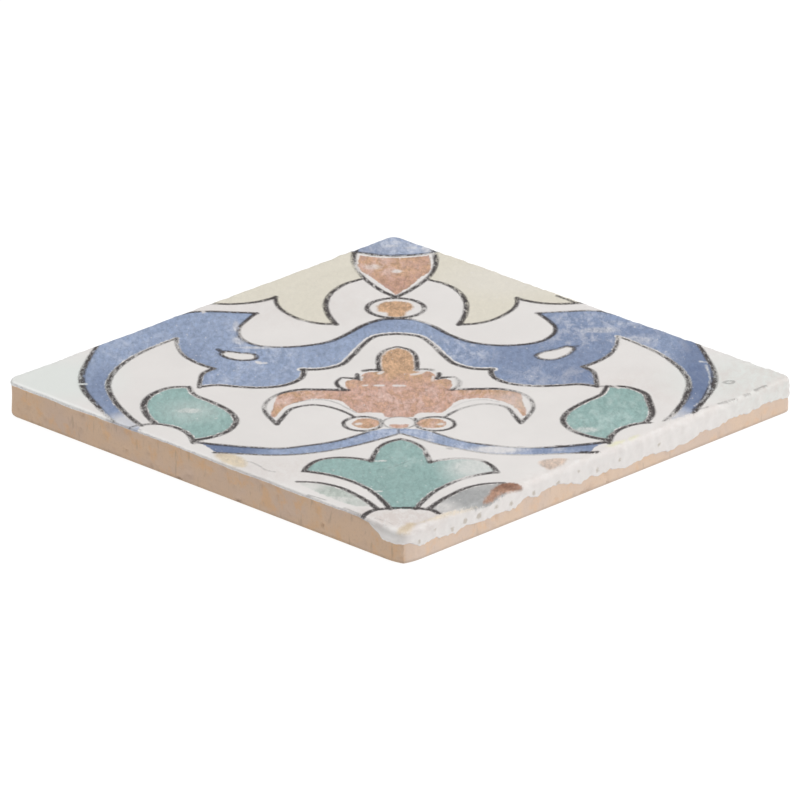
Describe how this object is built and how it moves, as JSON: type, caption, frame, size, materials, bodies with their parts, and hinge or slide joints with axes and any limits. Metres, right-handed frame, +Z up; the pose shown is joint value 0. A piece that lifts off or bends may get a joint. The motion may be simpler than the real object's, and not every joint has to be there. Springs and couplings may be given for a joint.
{
  "type": "glazed ceramic tile",
  "caption": "Square decorated ceramic tile: a flat slab of fired clay with a glazed, painted face, rounded corners and bare clay edges and back.",
  "frame": {"origin": "middle of the back of the tile, on the plane that the tile lies on", "axes": "+Z up, out of the glazed face; +X and +Y square to two edges of the tile; the painted ornament is symmetric about the diagonal from the corner at -X -Y to the corner at +X +Y"},
  "size_m": [0.2, 0.2, 0.0132],
  "materials": {
    "biscuit": "bare fired clay, fine grained and matte",
    "glaze": "satin off-white glaze, painted in blue, sea green, terracotta, ochre and dark brown line"
  },
  "bodies": {
    "root": {"tile": "biscuit"}
  },
  "joints": []
}
